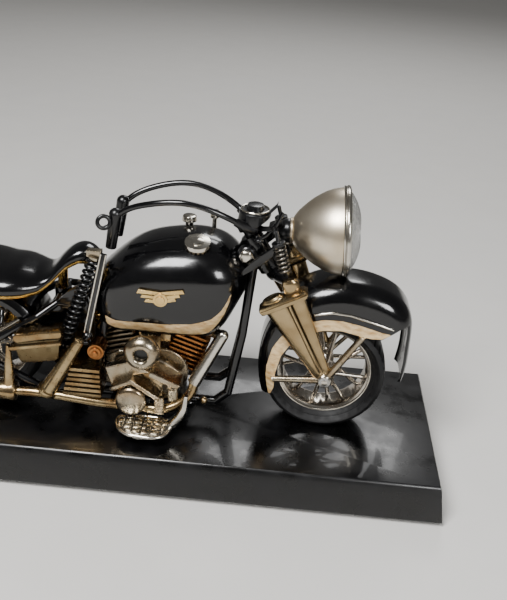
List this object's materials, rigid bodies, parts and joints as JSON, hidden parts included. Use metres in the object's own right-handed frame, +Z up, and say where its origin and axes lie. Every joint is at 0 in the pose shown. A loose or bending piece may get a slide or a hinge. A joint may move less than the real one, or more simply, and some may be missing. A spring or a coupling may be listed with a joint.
{
  "type": "wind-up toy motorcycle on plinth",
  "caption": "Wind-up model motorcycle on a black plinth: turning fork, spinning wheels, sprung saddle, and a spring clockwork that drives the rear wheel through gears.",
  "frame": {"origin": "centre of the footprint, at the underside of the plinth's feet", "axes": "+X towards the front wheel, +Y to the machine's left side, +Z up"},
  "size_m": [0.2372, 0.0872, 0.1185],
  "materials": {
    "lacquer": "black gloss lacquer",
    "plinth_wood": "black gloss lacquer on wood",
    "felt_rubber": "matt",
    "steel": "satin",
    "pewter": "antiqued cast pewter, satin",
    "old_gold": "worn gold wash, satin",
    "copper": "copper wash, rough",
    "silver": "worn silver plate",
    "tyre": "dark rubber",
    "clear_glass": "clear, domed",
    "red_glass": "red",
    "brass": "turned brass",
    "saddle_black": "black gloss"
  },
  "bodies": {
    "base": {"plinth": "plinth_wood", "plinth_feet": "felt_rubber", "mount_screws": "steel", "frame": "lacquer", "rear_axle": "steel", "crankcase": "pewter", "front_cylinder": "copper", "rear_cylinder": "pewter", "casing_arm": "pewter", "timing_cover": "pewter", "rear_hood": "silver", "front_hood": "copper", "air_cleaner": "pewter", "carburettor": "old_gold", "kick_boss": "copper", "exhaust_pipe": "old_gold", "header_pipe": "silver", "silencer": "old_gold", "rear_stub": "old_gold", "cooler_block": "old_gold", "tool_box": "old_gold", "footboards": "silver", "tank": "lacquer", "tank_badges": "old_gold", "filler_cap": "silver", "tank_knobs": "silver", "strut_spring": "steel", "strut_foot": "lacquer", "rear_fender": "lacquer", "tail_lamp": "silver", "tail_lens": "red_glass", "clock_plates": "brass"},
    "steering": {"fork_sides": "old_gold", "fork_crowns": "lacquer", "fork_springs": "steel", "fork_spring_rods": "steel", "front_fender": "lacquer", "front_axle": "steel", "lamp_shell": "pewter", "lamp_bezel": "silver", "lamp_lens": "clear_glass", "lamp_reflector": "silver", "lamp_arm": "pewter", "handlebar": "lacquer", "grips": "lacquer", "speed_drum": "lacquer"},
    "front_roller": {"front_wheel": "pewter", "front_tyre": "tyre"},
    "rear_roller": {"rear_wheel": "pewter", "rear_tyre": "tyre", "rear_gear": "brass"},
    "idler": {"idler_gear": "brass"},
    "drive": {"drive_arbor": "brass"},
    "great": {"great_wheel": "brass", "mainspring": "steel"},
    "winder": {"winding_arbor": "steel", "winding_key": "silver"},
    "sprung_seat": {"saddle": "saddle_black", "saddle_pan": "brass", "strut_head": "silver"}
  },
  "joints": [
    {"name": "steering_turn", "type": "hinge", "parent": "base", "child": "steering", "pos_m": [0.03985, 0, 0.08914], "axis": [-0.5299, 0, 0.848], "range_deg": [-10, 10]},
    {"name": "front_wheel_spin", "type": "hinge", "parent": "steering", "child": "front_roller", "pos_m": [0.069, 0, 0.0425], "axis": [0, 1, 0], "continuous": true},
    {"name": "rear_wheel_spin", "type": "hinge", "parent": "base", "child": "rear_roller", "pos_m": [-0.069, 0, 0.0425], "axis": [0, 1, 0], "continuous": true},
    {"name": "idler_spin", "type": "hinge", "parent": "base", "child": "idler", "pos_m": [-0.05088, 0, 0.0425], "axis": [0, 1, 0], "continuous": true},
    {"name": "drive_spin", "type": "hinge", "parent": "base", "child": "drive", "pos_m": [-0.03476, 0, 0.0425], "axis": [0, 1, 0], "continuous": true},
    {"name": "great_wheel_spin", "type": "hinge", "parent": "base", "child": "great", "pos_m": [-0.03315, 0, 0.0533], "axis": [0, 1, 0], "continuous": true},
    {"name": "key_wind", "type": "hinge", "parent": "base", "child": "winder", "pos_m": [-0.03315, 0, 0.0533], "axis": [0, 1, 0], "continuous": true},
    {"name": "saddle_sink", "type": "slide", "parent": "base", "child": "sprung_seat", "axis": [0, 0, 1], "range_m": [-0.003, 0], "stiffness_N_per_m": 400, "springref_m": 0.002, "deforming": ["strut_spring"]}
  ],
  "couplings": [
    {"joint": "idler_spin", "follows": "rear_wheel_spin", "ratio": -1.25},
    {"joint": "drive_spin", "follows": "rear_wheel_spin", "ratio": 1.25},
    {"joint": "great_wheel_spin", "follows": "rear_wheel_spin", "ratio": -0.35714}
  ]
}
